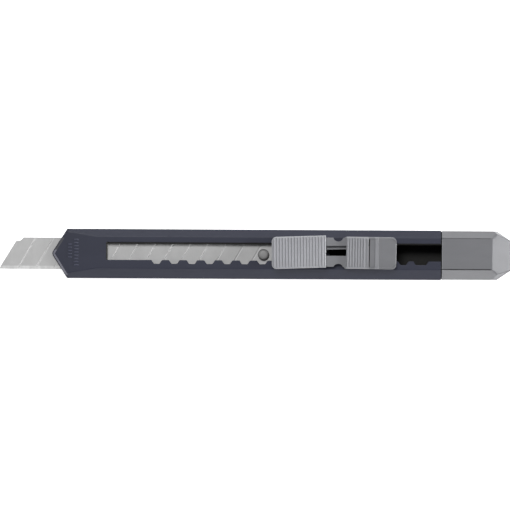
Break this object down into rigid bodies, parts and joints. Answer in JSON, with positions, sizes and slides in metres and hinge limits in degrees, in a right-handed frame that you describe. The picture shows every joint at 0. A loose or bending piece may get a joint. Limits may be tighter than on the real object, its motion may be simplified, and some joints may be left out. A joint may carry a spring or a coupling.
{
  "type": "snap-off utility knife",
  "caption": "Slim snap-off utility knife with a dark faceted plastic handle, grey two-part locking slider, toothed slot and grey tail cap, blade partly extended.",
  "frame": {"origin": "middle of the handle's flat back face, halfway between the nose apex and the tail end", "axes": "+X along the handle towards the tail cap, blade tip towards -X; +Y towards the blade's spine, cutting edge towards -Y; +Z out of the slider face"},
  "size_m": [0.1455, 0.014, 0.0107],
  "materials": {
    "handle_plastic": "fine-grained matt moulded plastic, anthracite",
    "slider_plastic": "satin moulded plastic, mid grey",
    "cap_plastic": "matt moulded plastic, mid grey",
    "blade_steel": "ground and lightly oiled steel strip",
    "stud_steel": "turned steel pin with a domed head"
  },
  "bodies": {
    "handle": {"handle_shell": "handle_plastic"},
    "lock_slide": {"lock_pad": "slider_plastic", "lock_shoe": "handle_plastic"},
    "blade_slide": {"blade": "blade_steel", "blade_stud": "stud_steel", "blade_carrier": "handle_plastic", "thumb_pad": "slider_plastic", "click_spring": "slider_plastic"},
    "tail_cap": {"tail_cap": "cap_plastic"}
  },
  "joints": [
    {"name": "slider_travel", "type": "slide", "parent": "handle", "child": "lock_slide", "axis": [1, 0, 0], "range_m": [-0.04, 0.015], "deforming": ["click_spring"]},
    {"name": "lock_close", "type": "slide", "parent": "lock_slide", "child": "blade_slide", "axis": [1, 0, 0], "range_m": [0, 0.005]},
    {"name": "cap_pull", "type": "slide", "parent": "handle", "child": "tail_cap", "axis": [1, 0, 0], "range_m": [0, 0.02]}
  ]
}
